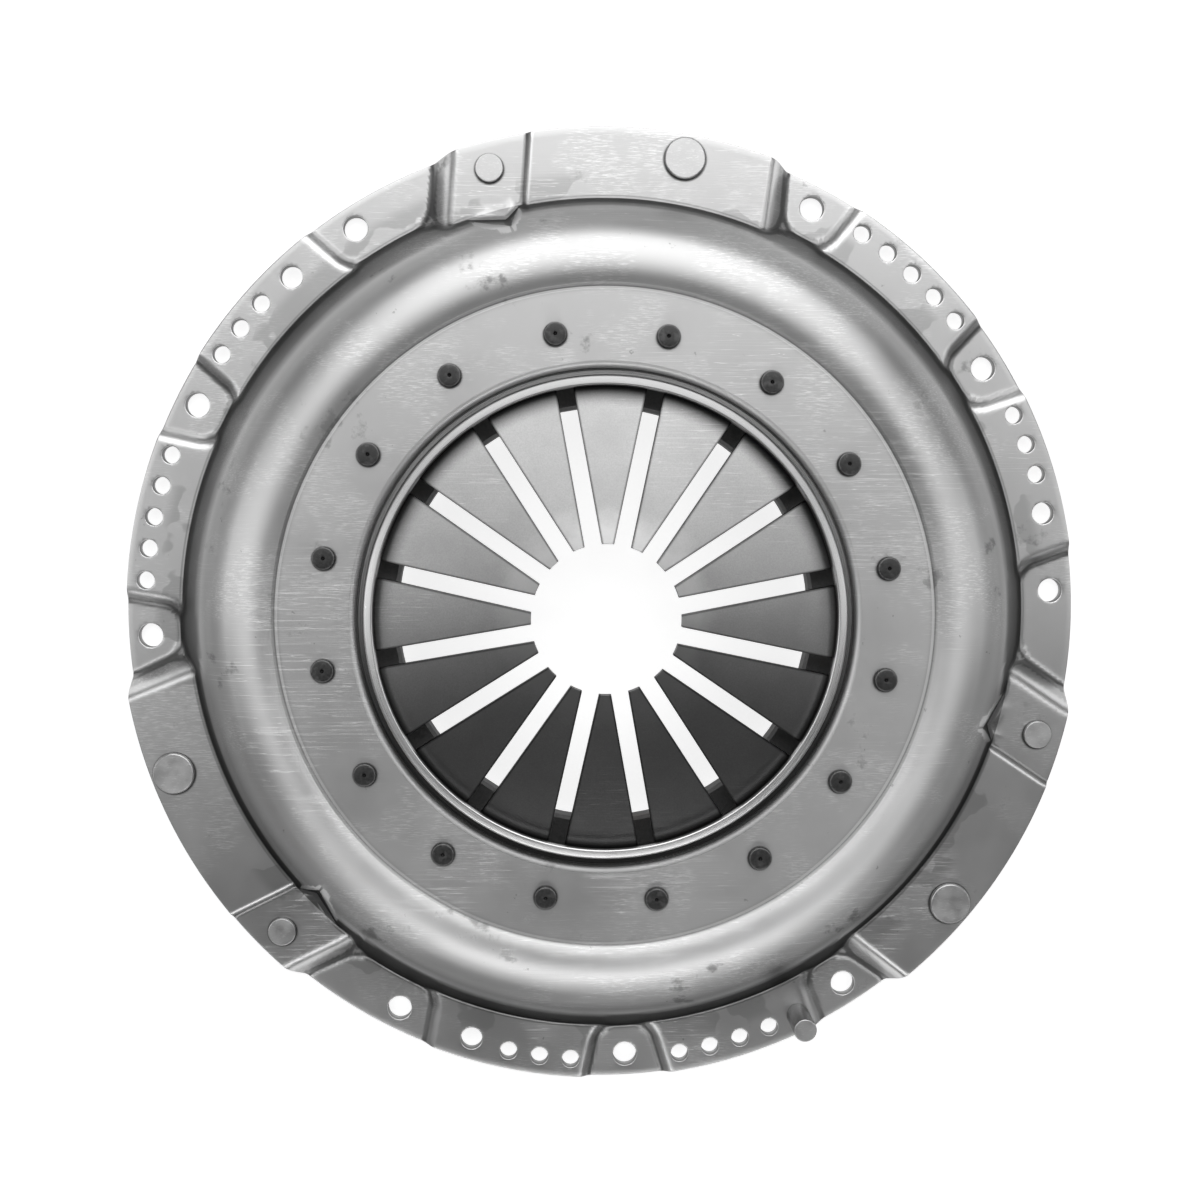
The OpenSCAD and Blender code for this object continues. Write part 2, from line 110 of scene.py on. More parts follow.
# The dome's section: crest, bends and the leaning wall, in millimetres
CREST = (152.5, 48.0)
OUTER_BEND, INNER_BEND = 32.3, 18.0
WALL_LEAN = math.radians(25.8)
FLAT_EDGE, FLAT_TOP = 144.0, 45.8
MOUTH, MOUTH_EDGE = 109.5, 3.0
FLAT_GROOVE = (1.8, 0.35)

# Radius outside which the skin can meet the flange, the fillet there, the least share of the sheet's
# thickness that stays in a bend, and the radius of the wall's skin at the top of a low pad
WALL_FROM, FOOT_FILLET, LEAST_SHEET = 170.0, 2.2, 0.6
WALL_FOOT = 193.3

# Rows of the sheet, as radii or as distances from the wall's foot, and how many lie evenly between
FLANGE_ROWS, WALL_ROWS = 11, 5
UNDER_FLANGE_ROWS, UNDER_WALL_ROWS = 10, 3
RIM_ROUND = 0.7
FOOT_ROWS = (1.5, 1.0, 0.6, 0.3, 0.0, -0.3, -0.7, -1.2)
DOME_ROWS = (
    172.5, 169.0, 165.5, 162.0, 158.5, 155.5, 152.5, 150.0, 147.8, 146.2, 145.8,
    145.4, 144.9, 144.5, 144.3, 144.02, 143.8, 143.5, 143.0, 140.0, 128.0,
)
UNDER_ROWS = (168.0, 160.0, 152.5, 146.0, 140.0, 126.0)
MOUTH_STEPS = 5

# Holes of the flange in a sector: angles, circle and radius
BOLT_ANGLES, BOLT_CIRCLE, BOLT_HOLE = (0.0, 30.0, 60.0), 207.5, 5.5
DOWEL_ANGLE, DOWEL_HOLE = 50.0, 5.0
BALANCE_ANGLES, BALANCE_CIRCLE, BALANCE_HOLE = (7, 11, 15, 19, 23, 37, 41, 45), 209.0, 4.0
ANCHOR_ANGLE, ANCHOR_CIRCLE, ANCHOR_HOLE, ANCHOR_HEAD = 78.3, 205.4, 4.05, 6.3
STOP_ANGLE, STOP_CIRCLE, STOP_HOLE, STOP_HEAD = -17.3, 206.5, 6.75, 9.3

# Rivets and slots of the finger spring: angle of the first, angle between two, circle and radius
FIRST_RIVET, RIVET_STEP, RIVET_COUNT = 12.35, 22.5, 16
RIVET_CIRCLE, RIVET_HOLE, RIVET_HEAD = 125.7, 3.8, 5.0
SLOT_HALF = 3.8

# The upper ring: lip, groove, the face under the cover, and the bead that the spring tilts on
LIP_IN, LIP_OUT, LIP_TOP = 102.0, 106.4, 45.8
GROOVE_WALL, GROOVE_FLOOR, RING_TOP = 108.9, 41.5, 40.25
RING_OUT, RING_UNDER, LIP_UNDER = 137.0, 35.8, 39.6
BEAD, BEAD_HEIGHT, BEAD_RADIUS = 133.0, 36.85, 2.5

# How far round a spot of the sheet its bend is measured, the radius outside which it is, and the
# marks of a full crease, painted as shade, and of an edge, painted as a highlight
MARK_REACH = 1.8
MARK_FROM = 172.0
CREASE_SHADE = 0.07
EDGE_HIGHLIGHT = -0.08

# Steps round a drill, the upper ring and a dark rivet, and along a strap leaf
DRILL_STEPS, RING_STEPS, RIVET_STEPS, LEAF_STEPS = 32, 240, 48, 24

# Edges that turn by more degrees than this are sharp
SHARP_FROM = 32.0

# Painted light and shade of the cover along its radius, with the radius in fifths of a metre: painted
# highlights on the flat ring and the crest, painted shade on the wall
SECTION_REACH = 5.0
SECTION_LIGHT_AND_SHADE = (
    (0.545, 1.08), (0.71, 1.08), (0.722, 0.74), (0.74, 0.78), (0.775, 0.98), (0.83, 1.25),
    (0.86, 0.84), (0.885, 0.56), (0.93, 0.47), (0.97, 0.44),
)

# Soft boxes round the clutch: name, place, size and power
LIGHTS = (
    ("key", (0.06, 1.04, 1.27), (1.9, 1.6), 20.0),
    ("left", (-1.10, 0.1, 1.15), (0.5, 1.4), 4.0),
    ("right", (1.10, 0.1, 1.10), (0.45, 1.4), 2.6),
    ("front", (0.0, -1.12, 1.02), (1.8, 0.5), 5.6),
)
WORLD_LIGHT = 0.08
FLOOR_REACH = 40.0

# Where the photograph was taken from: the clutch axis leans a little, and the eye is on +Z
EYE_DISTANCE = 0.78898
EYE_TILT = (0.0639, 0.0292)
EYE_SHIFT = (0.001467, -0.005537)
EYE_FOCUS = 1700 / 1200


def place_on(angle, radius, height=0.0):
    """A point at an angle, in degrees clockwise from +Y, round the clutch axis."""
    turn = math.radians(angle)
    return Vector((radius * math.sin(turn), radius * math.cos(turn), height))


def across(line, spot):
    """How far a spot lies to the clockwise side of a line from the rim inwards, in millimetres."""
    start, end = (place_on(*place).to_2d() for place in line)
    way = (end - start).normalized()
    return way.cross(spot - start)


def bend(share, low=0.2, high=0.55):
    """Rises from 0 to 1 with a tight bend at the bottom and a wide one at the top."""
    share = min(1.0, max(0.0, share))
    steep = 2.0 / (1.0 + high - low)
    if share < low:
        return steep * share * share / (2.0 * low)
    if share < high:
        return steep * (share - low / 2.0)
    return 1.0 - steep * (1.0 - share) ** 2 / (2.0 * (1.0 - high))


def recess_gap(sides, spot):
    """How far a spot lies outside a low pad with two side lines, a foot and round corners."""
    gaps = (-across(sides[0], spot), across(sides[1], spot), RECESS_FOOT - spot.length)
    inset = [max(0.0, gap + RECESS_CORNER) for gap in gaps]
    return math.hypot(*inset) - RECESS_CORNER


def climb(rise, low, high):
    """Height on the way up to a rise, from how far a spot is past its foot and short of its top."""
    if low <= 0.0:
        return 0.0
    return rise * bend(low / max(1e-6, low + max(0.0, high)))


def flange_height(angle, radius):
    """Height of the flange's underside in a sector, from -20 to 100 degrees."""
    spot = place_on(angle, radius).to_2d()
    level = BAY * min(bend(recess_gap(sides, spot) / BAY_BEND) for sides in RECESSES)
    if angle < HIGH_UNTIL:
        return max(level, climb(HIGH, -across(RECESSES[0][0], spot), across(HIGH_LINE, spot)))
    if angle > ANCHOR_FROM:
        pad = climb(ANCHOR, across(RECESSES[2][1], spot), -across(ANCHOR_LINE, spot))
        step = bend(across(CREASE_LINE, spot) / CREASE_BEND)
        return max(level, pad + (HIGH - ANCHOR) * step)
    return level


def dome_height(angle, radius, depth=0.0):
    """Height of the dome's skin, or of the skin a depth inside it, with the anchor pads' nooks."""
    outer, inner = OUTER_BEND - depth, INNER_BEND - depth
    middle = CREST[1] - OUTER_BEND
    out = radius - CREST[0]
    wall_from = outer * math.cos(WALL_LEAN)
    if out > wall_from:
        height = middle + outer * math.sin(WALL_LEAN) - (out - wall_from) / math.tan(WALL_LEAN)
    elif out > 0.0:
        height = middle + math.sqrt(outer * outer - out * out)
    else:
        height = CREST[1] - INNER_BEND + math.sqrt(max(0.0, inner * inner - out * out))
    if radius < CREST[0]:
        height = max(height, FLAT_TOP - depth) if depth else height
    if radius < FLAT_EDGE and not depth:
        height = FLAT_TOP
    elif radius < FLAT_EDGE + FLAT_GROOVE[0] and not depth:
        height -= FLAT_GROOVE[1] * math.sin(math.pi * (radius - FLAT_EDGE) / FLAT_GROOVE[0])
    if ANCHOR_FROM < angle < NOOK_UNTIL:
        spot = place_on(angle, radius).to_2d()
        inward = max(across(NOOK[1::-1], spot), across(NOOK[:0:-1], spot))
        beyond = across(CREASE_LINE, spot) - CREASE_BEND / 2
        slope = NOOK_SLOPE * (max(0.0, inward) + max(0.0, beyond))
        height = min(height, ANCHOR + SHEET - depth + slope)
    return height


def joined(first, second, soft):
    """The higher of two heights with a small fillet between them."""
    share = min(1.0, max(0.0, 0.5 + 0.5 * (first - second) / soft))
    return second + (first - second) * share + soft * share * (1.0 - share)


def foot_of(angle, depth):
    """Radius at which the wall meets the flange."""
    near, far = 176.0, 200.0

    def rises(radius):
        return dome_height(angle, radius, depth) > flange_height(angle, radius) + SHEET - depth

    step = 0.5
    while far > near and not rises(far):
        far -= step
    low, high = far, far + step
    for _ in range(8):
        middle = (low + high) / 2
        low, high = (middle, high) if rises(middle) else (low, middle)
    return (low + high) / 2


def skin_height(angle, radius, depth):
    """Height of the cover's upper side, or of its underside when a depth is given."""
    flat = flange_height(angle, radius) + SHEET
    top = dome_height(angle, radius)
    if radius >= WALL_FROM:
        top = joined(top, flat, FOOT_FILLET)
    if not depth:
        return top
    under = dome_height(angle, radius, depth)
    if radius > WALL_FROM:
        under = joined(under, flat - depth, FOOT_FILLET)
    return min(under, top - LEAST_SHEET * depth)


def rows(start, end, count):
    """Radii in even steps from a start to an end."""
    return [start + (end - start) * k / count for k in range(count + 1)]


def skin_radii(angle, depth):
    """Radii of the rows of one side of the cover, from the rim in to the mouth."""
    foot = foot_of(angle, depth)
    if depth:
        flange = rows(RIM, foot + 1.0, UNDER_FLANGE_ROWS)
        return flange + rows(foot, 174.0, UNDER_WALL_ROWS) + [*UNDER_ROWS, MOUTH]
    flange = rows(RIM - RIM_ROUND, foot + 2.2, FLANGE_ROWS)
    foot_rows = [foot + out for out in FOOT_ROWS]
    wall = rows(foot + FOOT_ROWS[-1], 176.0, WALL_ROWS)[1:]
    return flange + foot_rows + wall + [*DOME_ROWS, MOUTH + MOUTH_EDGE + 0.1]


def bend_mark(angle, radius):
    """How sharply the upper side bends at a spot: above 0 in a crease, painted as shade, below 0 on an
    edge, painted as a highlight; at the flat ring's edge a painted highlight line with a painted shade
    line outside it.
    """
    if radius < MARK_FROM:
        if FLAT_EDGE - 0.7 < radius < FLAT_EDGE + 0.4:
            return EDGE_HIGHLIGHT
        return CREASE_SHADE if FLAT_EDGE < radius < FLAT_EDGE + 1.3 else 0.0
    side = math.degrees(MARK_REACH / radius)
    spots = [(angle + turn, radius) for turn in (-side, side)]
    spots += [(angle, radius + out) for out in (-MARK_REACH, MARK_REACH)]
    around = sum(skin_height(*spot, 0.0) for spot in spots) / len(spots)
    return (around - skin_height(angle, radius, 0.0)) / MARK_REACH ** 2


def column_angles():
    """Angles of one sector's columns."""
    return [low + (high - low) * k / count for low, high, count in COLUMN_SPANS for k in range(count)]


def pressed_sheet():
    """The whole sheet: an upper side, an underside, the rim and the mouth's round edge."""
    bm = bmesh.new()
    marks = bm.verts.layers.float.new("bends")
    columns = []
    for sector, angle in ((sector, angle) for sector in range(SECTORS) for angle in column_angles()):
        turn = PATTERN_TURN + SECTOR_TURN * sector + angle
        upper = [(r, skin_height(angle, r, 0.0)) for r in skin_radii(angle, 0.0)]
        rim_top = upper[0][1]
        rim = [(RIM, rim_top - 0.8), (RIM - 0.2, rim_top - 0.25)]
        mouth = [
            (MOUTH + MOUTH_EDGE * (1 - math.sin(a)), FLAT_TOP - MOUTH_EDGE * (1 - math.cos(a)))
            for a in (math.pi / 2 * j / MOUTH_STEPS for j in range(MOUTH_STEPS + 1))
        ]
        under = [(r, skin_height(angle, r, SHEET)) for r in skin_radii(angle, SHEET)]
        section = rim + upper + mouth + under[::-1]
        columns.append([bm.verts.new(place_on(turn, r * MM, z * MM)) for r, z in section])
        for vert, (r, _) in zip(columns[-1][len(rim):], upper):
            vert[marks] = bend_mark(angle, r)
        # Painted highlight along the rim
        for vert in columns[-1][:len(rim)]:
            vert[marks] = EDGE_HIGHLIGHT
        # Painted highlight on the mouth's round edge towards the top, painted shade towards the bottom
        mouth_highlight_share = 0.5 + 0.5 * math.cos(math.radians(turn))
        for vert in columns[-1][len(rim) + len(upper):][:len(mouth) - 1]:
            vert[marks] = CREASE_SHADE + (EDGE_HIGHLIGHT - CREASE_SHADE) * mouth_highlight_share
    for near, far in zip(columns, columns[1:] + columns[:1]):
        for j in range(len(near)):
            following = (j + 1) % len(near)
            bm.faces.new((near[j], near[following], far[following], far[j]))
    bmesh.ops.recalc_face_normals(bm, faces=bm.faces)
    return bm


def cutter(radius, top, edge=0.5):
    """Half a section of a drill that also rounds the hole's upper edge."""
    return [
        (0.0, -2 * SHEET), (radius, -2 * SHEET), (radius, top - edge),
        (radius + 0.3 * edge, top - 0.3 * edge), (radius + edge, top + 0.02),
        (radius + edge, top + SHEET), (0.0, top + SHEET),
    ]


def rivet_holes(top):
    """The holes for the spring's rivets in a sheet or ring with its top at a height."""
    return [(FIRST_RIVET + RIVET_STEP * k, RIVET_CIRCLE, RIVET_HOLE, top) for k in range(RIVET_COUNT)]


def cover_holes():
    """Every hole of the cover as (angle, circle radius, hole radius, height of the sheet's top)."""
    holes = rivet_holes(FLAT_TOP)
    for sector in range(SECTORS):
        start = PATTERN_TURN + sector * SECTOR_TURN
        holes += [(start + a, BOLT_CIRCLE, BOLT_HOLE, SHEET) for a in BOLT_ANGLES]
        holes += [(start + a, BALANCE_CIRCLE, BALANCE_HOLE, SHEET + BAY) for a in BALANCE_ANGLES]
        holes.append((start + DOWEL_ANGLE, BOLT_CIRCLE, DOWEL_HOLE, SHEET + BAY))
        holes.append((start + ANCHOR_ANGLE, ANCHOR_CIRCLE, ANCHOR_HOLE, SHEET + ANCHOR))
        holes.append((start + STOP_ANGLE, STOP_CIRCLE, STOP_HOLE, SHEET + HIGH))
    return holes


def drafted(bm, name):
    """A short-lived object for a cut."""
    mesh = bpy.data.meshes.new(name)
    bm.to_mesh(mesh)
    bm.free()
    thing = bpy.data.objects.new(name, mesh)
    bpy.context.scene.collection.objects.link(thing)
    return thing


def drilled(bm, holes):
    """A sheet with all its holes cut in one go."""
    drills = bmesh.new()
    drills.verts.layers.float.new("bends")
    for angle, circle, radius, top in holes:
        drill = spun([(r * MM, z * MM) for r, z in cutter(radius, top)], DRILL_STEPS)
        marks = drill.verts.layers.float.new("bends")
        # Painted shade on the hole walls, painted highlight on their rounded upper edges
        for vert in drill.verts:
            vert[marks] = CREASE_SHADE if vert.co.z < (top - 0.4) * MM else EDGE_HIGHLIGHT
        bmesh.ops.translate(drill, verts=drill.verts, vec=place_on(angle, circle * MM))
        mesh = bpy.data.meshes.new("drill")
        drill.to_mesh(mesh)
        drill.free()
        drills.from_mesh(mesh)
        bpy.data.meshes.remove(mesh)
    block, tool = drafted(bm, "sheet_draft"), drafted(drills, "drill_draft")
    cut = block.modifiers.new("holes", "BOOLEAN")
    cut.solver = "MANIFOLD"
    cut.object = tool
    bpy.context.view_layer.update()
    result = bmesh.new()
    result.from_object(block, bpy.context.evaluated_depsgraph_get())
    for thing in (block, tool):
        mesh = thing.data
        bpy.data.objects.remove(thing)
        bpy.data.meshes.remove(mesh)
    if len(result.faces) < len(holes):
        raise RuntimeError("the holes could not be cut")
    return result


def colour(name, words, value):
    return FloatVectorProperty(
        name=name, description=words, subtype="COLOR", size=3, min=0.0, max=1.0, default=value
    )


def length(name, words, value):
    return FloatProperty(name=name, description=words, unit="LENGTH", min=0.0, default=value)


class ClutchSizes(bpy.types.PropertyGroup):
    """Small sizes that the solids leave out."""

    finger_edge: length("Finger edge", "Rounding of the spring's edges", 0.0004)
    anchor_edge: length("Anchor edge", "Rounding of the anchor rivets' heads", 0.0005)
    stop_edge: length("Stop edge", "Rounding of the stop rivets' heads", 0.0007)
    pin_edge: length("Pin edge", "Rounding of the balancing pin", 0.0007)
    small_edge: length("Small edge", "Rounding of the washers", 0.0002)
    cast_edge: length("Cast edge", "Rounding of the plate's edges", 0.0008)
    dimple: length("Dimple", "Radius of the centre mark in a dark rivet", 0.0009)


class ClutchColours(bpy.types.PropertyGroup):
    """Colours of the bare and treated metals."""

    cover: colour("Cover", "Pressed steel sheet", (0.56, 0.56, 0.56))
    spring: colour("Spring", "Peened spring steel", (0.34, 0.34, 0.34))
    ring: colour("Ring", "Turned steel ring", (0.86, 0.86, 0.86))
    dark: colour("Dark rivet", "Blackened rivet steel", (0.07, 0.07, 0.07))
    rivet: colour("Rivet", "Riveted steel", (0.60, 0.60, 0.60))
    strap: colour("Strap", "Rolled strap steel", (0.46, 0.46, 0.47))
    iron: colour("Iron", "Cast iron plate", (0.22, 0.22, 0.22))
    floor: colour("Floor", "Pale floor", (0.45, 0.45, 0.45))


class Finish:
    """A material made node by node; its patterns read the piece's own coordinates."""

    def __init__(self, name):
        self.material = bpy.data.materials.new(f"{name}_finish")
        self.material.use_nodes = True
        self.tree = self.material.node_tree
        self.shader = self.tree.nodes["Principled BSDF"]
        self.place = self.add("ShaderNodeTexCoord").outputs["Object"]
        self.place_y = self.add("ShaderNodeSeparateXYZ", {0: self.place}).outputs["Y"]

    def add(self, kind, inputs=(), **settings):
        node = self.tree.nodes.new(kind)
        for key, value in settings.items():
            setattr(node, key, value)
        for key, value in dict(inputs).items():
            self.feed(node.inputs[key], value)
        return node

    def feed(self, socket, value):
        if isinstance(value, bpy.types.NodeSocket):
            self.tree.links.new(value, socket)
        else:
            socket.default_value = value

    def math(self, operation, *values):
        return self.add("ShaderNodeMath", enumerate(values), operation=operation).outputs[0]

    def limits(self, value, low, high, to_low=0.0, to_high=1.0):
        """Turns the span from low to high smoothly into another span."""
        return self.add(
            "ShaderNodeMapRange",
            {"Value": value, "From Min": low, "From Max": high, "To Min": to_low, "To Max": to_high},
            interpolation_type="SMOOTHSTEP",
        ).outputs[0]

    def turned(self, angle, stretch=(1.0, 1.0, 1.0)):
        """The piece's coordinates turned about Z and scaled along each axis."""
        return self.add(
            "ShaderNodeMapping",
            {"Vector": self.place, "Rotation": (0.0, 0.0, math.radians(angle)), "Scale": stretch},
            vector_type="POINT",
        ).outputs[0]

    def noise(self, vector, scale, detail=3.0, roughness=0.55, lean=0.0):
        sockets = {"Vector": vector, "Scale": scale, "Detail": detail}
        sockets |= {"Roughness": roughness, "Distortion": lean}
        return self.add("ShaderNodeTexNoise", sockets).outputs["Fac"]

    def mark(self, name):
        """A value that the mesh carries at its points."""
        return self.add("ShaderNodeAttribute", attribute_name=name).outputs["Fac"]

    def share(self, value, amount):
        """A value times an amount."""
        return self.math("MULTIPLY", value, amount)

    def polar(self, shift=0.0):
        """Radius and angle round the clutch axis, and height; a shift moves the axis towards -Y."""
        x, y, z = self.add("ShaderNodeSeparateXYZ", {0: self.place}).outputs
        y = self.math("ADD", y, shift)
        radius = self.math("SQRT", self.math("ADD", self.share(x, x), self.share(y, y)))
        return radius, self.math("ARCTAN2", x, y), z

    def heads(self, first, step, circle, head, width):
        """A soft painted shadow round rivet heads on a circle, a little wider below them."""
        radius, angle, _ = self.polar(0.0003)
        half = math.radians(step) / 2
        fold = self.math("WRAP", self.math("SUBTRACT", angle, math.radians(first)), half, -half)
        out = self.math("SUBTRACT", self.share(radius, self.math("COSINE", fold)), circle * MM)
        side = self.share(radius, self.math("SINE", fold))
        gap = self.math("SQRT", self.math("ADD", self.share(out, out), self.share(side, side)))
        return self.limits(gap, head * MM, (head + width) * MM, 1.0, 0.0)

    def combine(self, x, y, z):
        return self.add("ShaderNodeCombineXYZ", {0: x, 1: y, 2: z}).outputs[0]

    def mix(self, share, first, second):
        node = self.add("ShaderNodeMix", data_type="RGBA", clamp_factor=True)
        self.feed(node.inputs["Factor"], share)
        self.feed(node.inputs[6], first)
        self.feed(node.inputs[7], second)
        return node.outputs[2]

    def blend(self, share, first, second):
        """A value between two others."""
        return self.add("ShaderNodeMix", {"Factor": share, "A": first, "B": second}).outputs[0]

    def shades(self, share, value, dark, light):
        """A colour between a darker and a lighter level of itself."""
        return self.mix(share, scaled(value, dark), scaled(value, light))

    def over(self, share, base, value, level):
        """A base with a level of a colour laid over it by a share."""
        return self.mix(share, base, scaled(value, level))

    def ramp(self, value, stops):
        """A grey ramp through stops of (place, brightness), doubled to reach above 1."""
        node = self.add("ShaderNodeValToRGB", {0: value})
        points = node.color_ramp.elements
        while len(points) < len(stops):
            points.new(1.0)
        for point, (place, level) in zip(points, stops):
            point.position = place
            point.color = (level / 2, level / 2, level / 2, 1.0)
        return self.share(node.outputs[0], 2.0)

    def times(self, base, level):
        """A colour made lighter or darker by a level."""
        levels = self.combine(level, level, level)
        return self.add("ShaderNodeVectorMath", {0: base, 1: levels}, operation="MULTIPLY").outputs[0]

    def bumps(self, *heights):
        """Stacks bumps; each height is (value, depth in metres, strength)."""
        normal = None
        for value, depth, strength in heights:
            node = self.add("ShaderNodeBump", {"Height": value, "Distance": depth, "Strength": strength})
            if normal is not None:
                self.feed(node.inputs["Normal"], normal)
            normal = node.outputs[0]
        self.feed(self.shader.inputs["Normal"], normal)

    def finish(self, base, roughness, metallic=1.0):
        self.feed(self.shader.inputs["Base Color"], base)
        self.feed(self.shader.inputs["Roughness"], roughness)
        self.shader.inputs["Metallic"].default_value = metallic
        self.shader.inputs["Specular Tint"].default_value = (0.25, 0.25, 0.25, 1.0)
        return self.material


def scaled(value, share):
    """A colour made lighter or darker, with its alpha."""
    return tuple(min(1.0, c * share) for c in value) + (1.0,)


def scratches(finish, angle, size, seed):
    """Thin broken lines that run about one way."""
    lines = finish.noise(finish.turned(angle, (14.0, size, 3.0 + seed)), 1.0, 2.0, 0.5, 0.35)
    off_middle = finish.math("ABSOLUTE", finish.math("SUBTRACT", lines, 0.5))
    thin = finish.limits(off_middle, 0.0, 0.012, 1.0, 0.0)
    clumps = finish.noise(finish.turned(angle * 2.0, (9.0, 9.0, 9.0 + seed)), 1.0)
    return finish.share(thin, finish.limits(clumps, 0.56, 0.64))


def cover_finish(colours):
    """Pressed sheet: satin, rubbed in the rolling direction, with stains and scratches, and painted
    light and shade along the radius, in creases and hole walls, on edges and round the rivet heads.
    """
    f = Finish("cover_steel")
    radius, _, height = f.polar()
    lean = math.tan(WALL_LEAN)
    foot = (WALL_FOOT + SHEET * lean) * MM
    beyond = f.math("SUBTRACT", f.math("ADD", radius, f.share(height, lean)), foot)
    flange = f.limits(beyond, 0.0002, 0.0008)
    # Painted light and shade over the dome along its radius
    section = f.ramp(f.share(radius, SECTION_REACH), SECTION_LIGHT_AND_SHADE)
    down = f.limits(f.place_y, -0.14, 0.10, 1.0, 0.0)
    crest = f.share(f.limits(radius, 0.143, 0.149), f.limits(radius, 0.153, 0.164, 1.0, 0.0))
    wall = f.limits(radius, 0.168, 0.180)
    # Painted highlight on the crest towards the bottom, painted light on the upper wall and painted
    # shade on the lower wall
    section = f.share(section, f.math("ADD", 1.0, f.share(f.share(crest, down), 1.1)))
    section = f.share(section, f.blend(wall, 1.0, f.blend(down, 1.25, 0.42)))
    painted_light_and_shade = f.math("MAXIMUM", section, flange)
    bends = f.mark("bends")
    # crease is where painted shade goes, ridge where a painted highlight goes
    crease = f.limits(bends, 0.012, 0.07)
    ridge = f.limits(bends, -0.07, -0.012, 1.0, 0.0)
    rolled = f.noise(f.turned(0.0, (210.0, 3000.0, 900.0)), 1.0, 4.0, 0.62)
    rubbed = f.limits(f.noise(f.place, 24.0, 4.0, 0.6), 0.46, 0.60)
    clouds = f.noise(f.place, 11.0, 5.0, 0.6)
    stains = f.limits(f.noise(f.turned(35.0), 38.0, 6.0, 0.62), 0.62, 0.69)
    specks = f.limits(f.noise(f.turned(70.0), 190.0, 4.0, 0.6), 0.70, 0.74)
    patches = f.limits(f.noise(f.turned(10.0), 30.0, 3.0, 0.45), 0.53, 0.545)
    patches = f.share(f.share(patches, flange), f.limits(beyond, 0.008, 0.014, 1.0, 0.0))
    grain = f.noise(f.place, 1800.0, 2.0)
    lines = f.math("MAXIMUM", scratches(f, 24.0, 900.0, 1.0), scratches(f, -52.0, 800.0, 4.0))
    base = f.shades(clouds, colours.cover, 0.80, 1.12)
    streak = f.share(f.limits(rolled, 0.5, 0.62), f.share(rubbed, 0.8))
    base = f.over(streak, base, colours.cover, 1.4)
    base = f.over(f.share(patches, 0.7), base, colours.cover, 0.66)
    base = f.over(f.share(f.math("MAXIMUM", stains, specks), 0.55), base, colours.cover, 0.36)
    base = f.over(f.share(lines, 0.7), base, colours.cover, 1.6)
    # The painted light and shade laid on the colour
    base = f.times(base, painted_light_and_shade)
    # Painted shade in the creases and hole walls, painted highlight on the edges
    base = f.over(f.share(crease, 0.55), base, colours.cover, 0.22)
    base = f.over(f.share(ridge, 0.6), base, colours.cover, 1.5)
    # Painted shadows round the spring's, anchor and stop rivet heads
    spring_head_shadows = f.heads(FIRST_RIVET, RIVET_STEP, RIVET_CIRCLE, RIVET_HEAD, 0.9)
    anchor_head_shadows = f.heads(
        PATTERN_TURN + ANCHOR_ANGLE, SECTOR_TURN, ANCHOR_CIRCLE, ANCHOR_HEAD, 1.1
    )
    stop_head_shadows = f.heads(PATTERN_TURN + STOP_ANGLE, SECTOR_TURN, STOP_CIRCLE, STOP_HEAD, 1.0)
    head_shadow = f.math("MAXIMUM", spring_head_shadows, f.math("MAXIMUM", anchor_head_shadows, stop_head_shadows))
    base = f.over(f.share(head_shadow, 0.8), base, colours.cover, 0.08)
    rough_dome = f.limits(clouds, 0.3, 0.7, 0.40, 0.48)
    rough_flange = f.limits(clouds, 0.3, 0.7, 0.32, 0.40)
    rough = f.blend(flange, rough_dome, rough_flange)
    rough = f.math("ADD", rough, f.share(stains, 0.15))
    f.bumps(
        (clouds, 0.0004, 0.25), (rolled, 0.00002, 0.35),
        (grain, 0.00002, 0.35), (lines, -0.00003, 0.5),
    )
    return f.finish(base, rough)


def spring_finish(colours):
    """Peened spring steel: a fine even grain, fingers worn bright at the tips, painted shade along the
    finger edges, a painted shadow under the lip and painted light that is brighter towards the top.
    """
    f = Finish("spring_steel")
    radius, angle, _ = f.polar()
    grain = f.noise(f.place, 1500.0, 3.0, 0.7)
    clouds = f.noise(f.place, 40.0, 4.0, 0.6)
    wear = f.limits(f.math("ADD", radius, f.share(clouds, 0.018)), 0.046, 0.060, 1.0, 0.0)
    lines = f.math("MAXIMUM", scratches(f, 12.0, 1100.0, 2.0), scratches(f, -38.0, 900.0, 7.0))
    base = f.shades(grain, colours.spring, 0.72, 1.22)
    base = f.over(f.limits(clouds, 0.35, 0.7, 0.0, 0.4), base, colours.spring, 0.75)
    base = f.over(f.share(wear, 0.55), base, colours.spring, 1.6)
    base = f.over(f.share(lines, 0.5), base, colours.spring, 1.9)
    # Painted shade along the fingers' edges beside the slots
    step = math.radians(RIVET_STEP)
    turned = f.math("SUBTRACT", angle, math.radians(FIRST_RIVET))
    fold = f.math("ABSOLUTE", f.math("WRAP", turned, step / 2, -step / 2))
    side = f.math("SUBTRACT", f.share(radius, f.math("SINE", fold)), SLOT_HALF * MM)
    edge_shade = f.limits(side, 0.0003, 0.0011, 0.6, 0.0)
    # Painted shadow of the lip on the fingers' upper side
    up = f.limits(f.place_y, -0.03, 0.06)
    lip_shadow = f.share(f.limits(radius, 0.0925, 0.1015), f.share(up, 0.85))
    # Painted light: darker towards the bottom, brighter towards the top
    down = f.limits(f.place_y, -0.07, 0.05, 0.42, 1.25)
    inside = f.math("SUBTRACT", 1.0, edge_shade)
    outside_lip_shadow = f.math("SUBTRACT", 1.0, lip_shadow)
    base = f.times(base, f.share(down, f.share(inside, outside_lip_shadow)))
    rough = f.math("SUBTRACT", 0.34, f.share(wear, 0.04))
    f.bumps((clouds, 0.0002, 0.2), (grain, 0.00005, 0.5), (lines, -0.00002, 0.4))
    return f.finish(base, rough)


